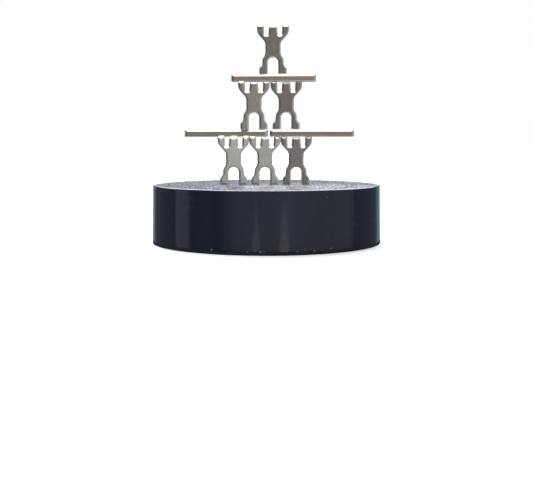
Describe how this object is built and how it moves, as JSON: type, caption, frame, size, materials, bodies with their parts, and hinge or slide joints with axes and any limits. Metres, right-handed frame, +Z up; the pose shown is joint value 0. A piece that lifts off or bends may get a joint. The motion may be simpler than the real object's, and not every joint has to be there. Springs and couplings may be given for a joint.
{
  "type": "magnetic desk sculpture",
  "caption": "Round black magnet base carrying a pyramid of loose stamped steel figures with raised arms and flat steel bars, held together by the magnet's pull.",
  "frame": {"origin": "centre of the foot pad's underside, on the surface that the sculpture stands on", "axes": "+Z up through the middle of the round base; +X along the bars, to the right of a viewer who faces the figures; +Y away from that viewer"},
  "size_m": [0.0956, 0.0956, 0.0897],
  "materials": {
    "moulded_black": "polished sides, fine pebble texture on the top face",
    "cover_black": "as moulded, matt",
    "foam_black": "closed-cell foam, matt",
    "ferrite": "pressed and ground",
    "zinc_plated_steel": "bright zinc plate",
    "tumbled_nickel": "stamped, tumbled and nickel plated, satin",
    "bar_steel": "tumbled and nickel plated, satin"
  },
  "bodies": {
    "base": {"base_shell": "moulded_black", "ring_magnet": "ferrite", "backing_plate": "zinc_plated_steel", "base_cover": "cover_black", "cover_screws": "zinc_plated_steel", "foot_pad": "foam_black"},
    "bottom_left": {"figure_bottom_left": "tumbled_nickel"},
    "bottom_middle": {"figure_bottom_middle": "tumbled_nickel"},
    "bottom_right": {"figure_bottom_right": "tumbled_nickel"},
    "lower_left_bar": {"bar_lower_left": "bar_steel"},
    "lower_right_bar": {"bar_lower_right": "bar_steel"},
    "middle_left": {"figure_middle_left": "tumbled_nickel"},
    "middle_right": {"figure_middle_right": "tumbled_nickel"},
    "upper_bar": {"bar_upper": "bar_steel"},
    "top": {"figure_top": "tumbled_nickel"}
  },
  "joints": [
    {"name": "bottom_left_pull", "type": "slide", "parent": "base", "child": "bottom_left", "axis": [0, -1, 0], "range_m": [0, 0.045]},
    {"name": "bottom_middle_pull", "type": "slide", "parent": "base", "child": "bottom_middle", "axis": [0, -1, 0], "range_m": [0, 0.045]},
    {"name": "bottom_right_pull", "type": "slide", "parent": "base", "child": "bottom_right", "axis": [0, -1, 0], "range_m": [0, 0.045]},
    {"name": "lower_left_bar_pull", "type": "slide", "parent": "base", "child": "lower_left_bar", "axis": [0, -1, 0], "range_m": [0, 0.045]},
    {"name": "lower_right_bar_pull", "type": "slide", "parent": "base", "child": "lower_right_bar", "axis": [0, -1, 0], "range_m": [0, 0.045]},
    {"name": "middle_left_pull", "type": "slide", "parent": "lower_left_bar", "child": "middle_left", "axis": [0, -1, 0], "range_m": [0, 0.045]},
    {"name": "middle_right_pull", "type": "slide", "parent": "lower_right_bar", "child": "middle_right", "axis": [0, -1, 0], "range_m": [0, 0.045]},
    {"name": "upper_bar_lift", "type": "slide", "parent": "base", "child": "upper_bar", "axis": [0, 0, 1], "range_m": [0, 0.03]},
    {"name": "top_lift", "type": "slide", "parent": "upper_bar", "child": "top", "axis": [0, 0, 1], "range_m": [0, 0.03]}
  ]
}
